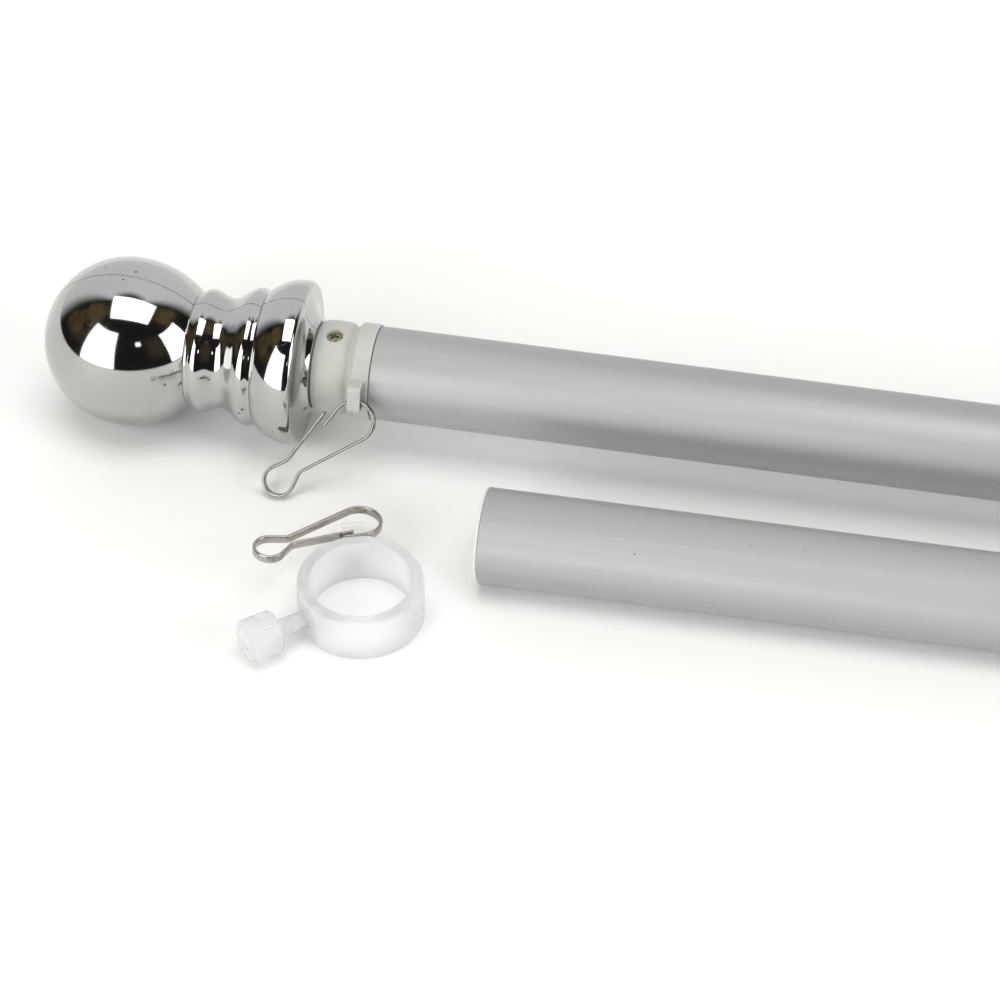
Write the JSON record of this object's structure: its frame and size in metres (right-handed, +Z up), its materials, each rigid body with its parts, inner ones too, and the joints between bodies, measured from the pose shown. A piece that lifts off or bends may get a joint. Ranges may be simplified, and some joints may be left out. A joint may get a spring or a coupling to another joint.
{
  "type": "flagpole",
  "caption": "Sectional aluminium house flagpole laid out as a kit: chromed ball finial, swivel ring, spring clips and a clamp ring with a thumbscrew.",
  "frame": {"origin": "middle of the laid-out kit's footprint, on the floor", "axes": "+X along the poles, from the finial towards their far ends; +Z up"},
  "size_m": [1.024, 0.1176, 0.0463],
  "materials": {
    "chromed_plastic": "bright chrome plating over hollow moulded plastic, with a parting line",
    "sleeve_plastic": "satin off-white",
    "screw_metal": "yellow zinc plating",
    "clip_steel": "satin nickel plating",
    "tube_aluminium": "satin anodised, finely brushed lengthwise",
    "plug_plastic": "white, slightly glossy",
    "frosted_plastic": "natural, translucent",
    "clear_plastic": "clear, moulded"
  },
  "bodies": {
    "pole": {"finial": "chromed_plastic", "neck_sleeve": "sleeve_plastic", "neck_screw": "screw_metal", "upper_tube": "tube_aluminium", "lower_tube": "tube_aluminium", "butt_plug": "plug_plastic", "clamp_ring": "frosted_plastic"},
    "spinner": {"spinner_ring": "sleeve_plastic"},
    "upper_clip": {"upper_clip": "clip_steel"},
    "thumbscrew": {"thumbscrew": "clear_plastic"},
    "lower_clip": {"lower_clip": "clip_steel"}
  },
  "joints": [
    {"name": "spinner_turn", "type": "hinge", "parent": "pole", "child": "spinner", "pos_m": [-0.42243, 0.03569, 0.02239], "axis": [0.9999, 0, -0.0115], "continuous": true},
    {"name": "upper_clip_swing", "type": "hinge", "parent": "spinner", "child": "upper_clip", "pos_m": [-0.42216, 0.02108, 0.02444], "axis": [-1, 0, 0], "range_deg": [0, 100]},
    {"name": "thumbscrew_travel", "type": "slide", "parent": "pole", "child": "thumbscrew", "axis": [0.7716, 0.6361, 0], "range_m": [-0.002, 0.008]},
    {"name": "lower_clip_swing", "type": "hinge", "parent": "pole", "child": "lower_clip", "pos_m": [-0.41535, -0.01588, 0.00987], "axis": [-0.9511, -0.309, 0], "range_deg": [0, 55]}
  ]
}
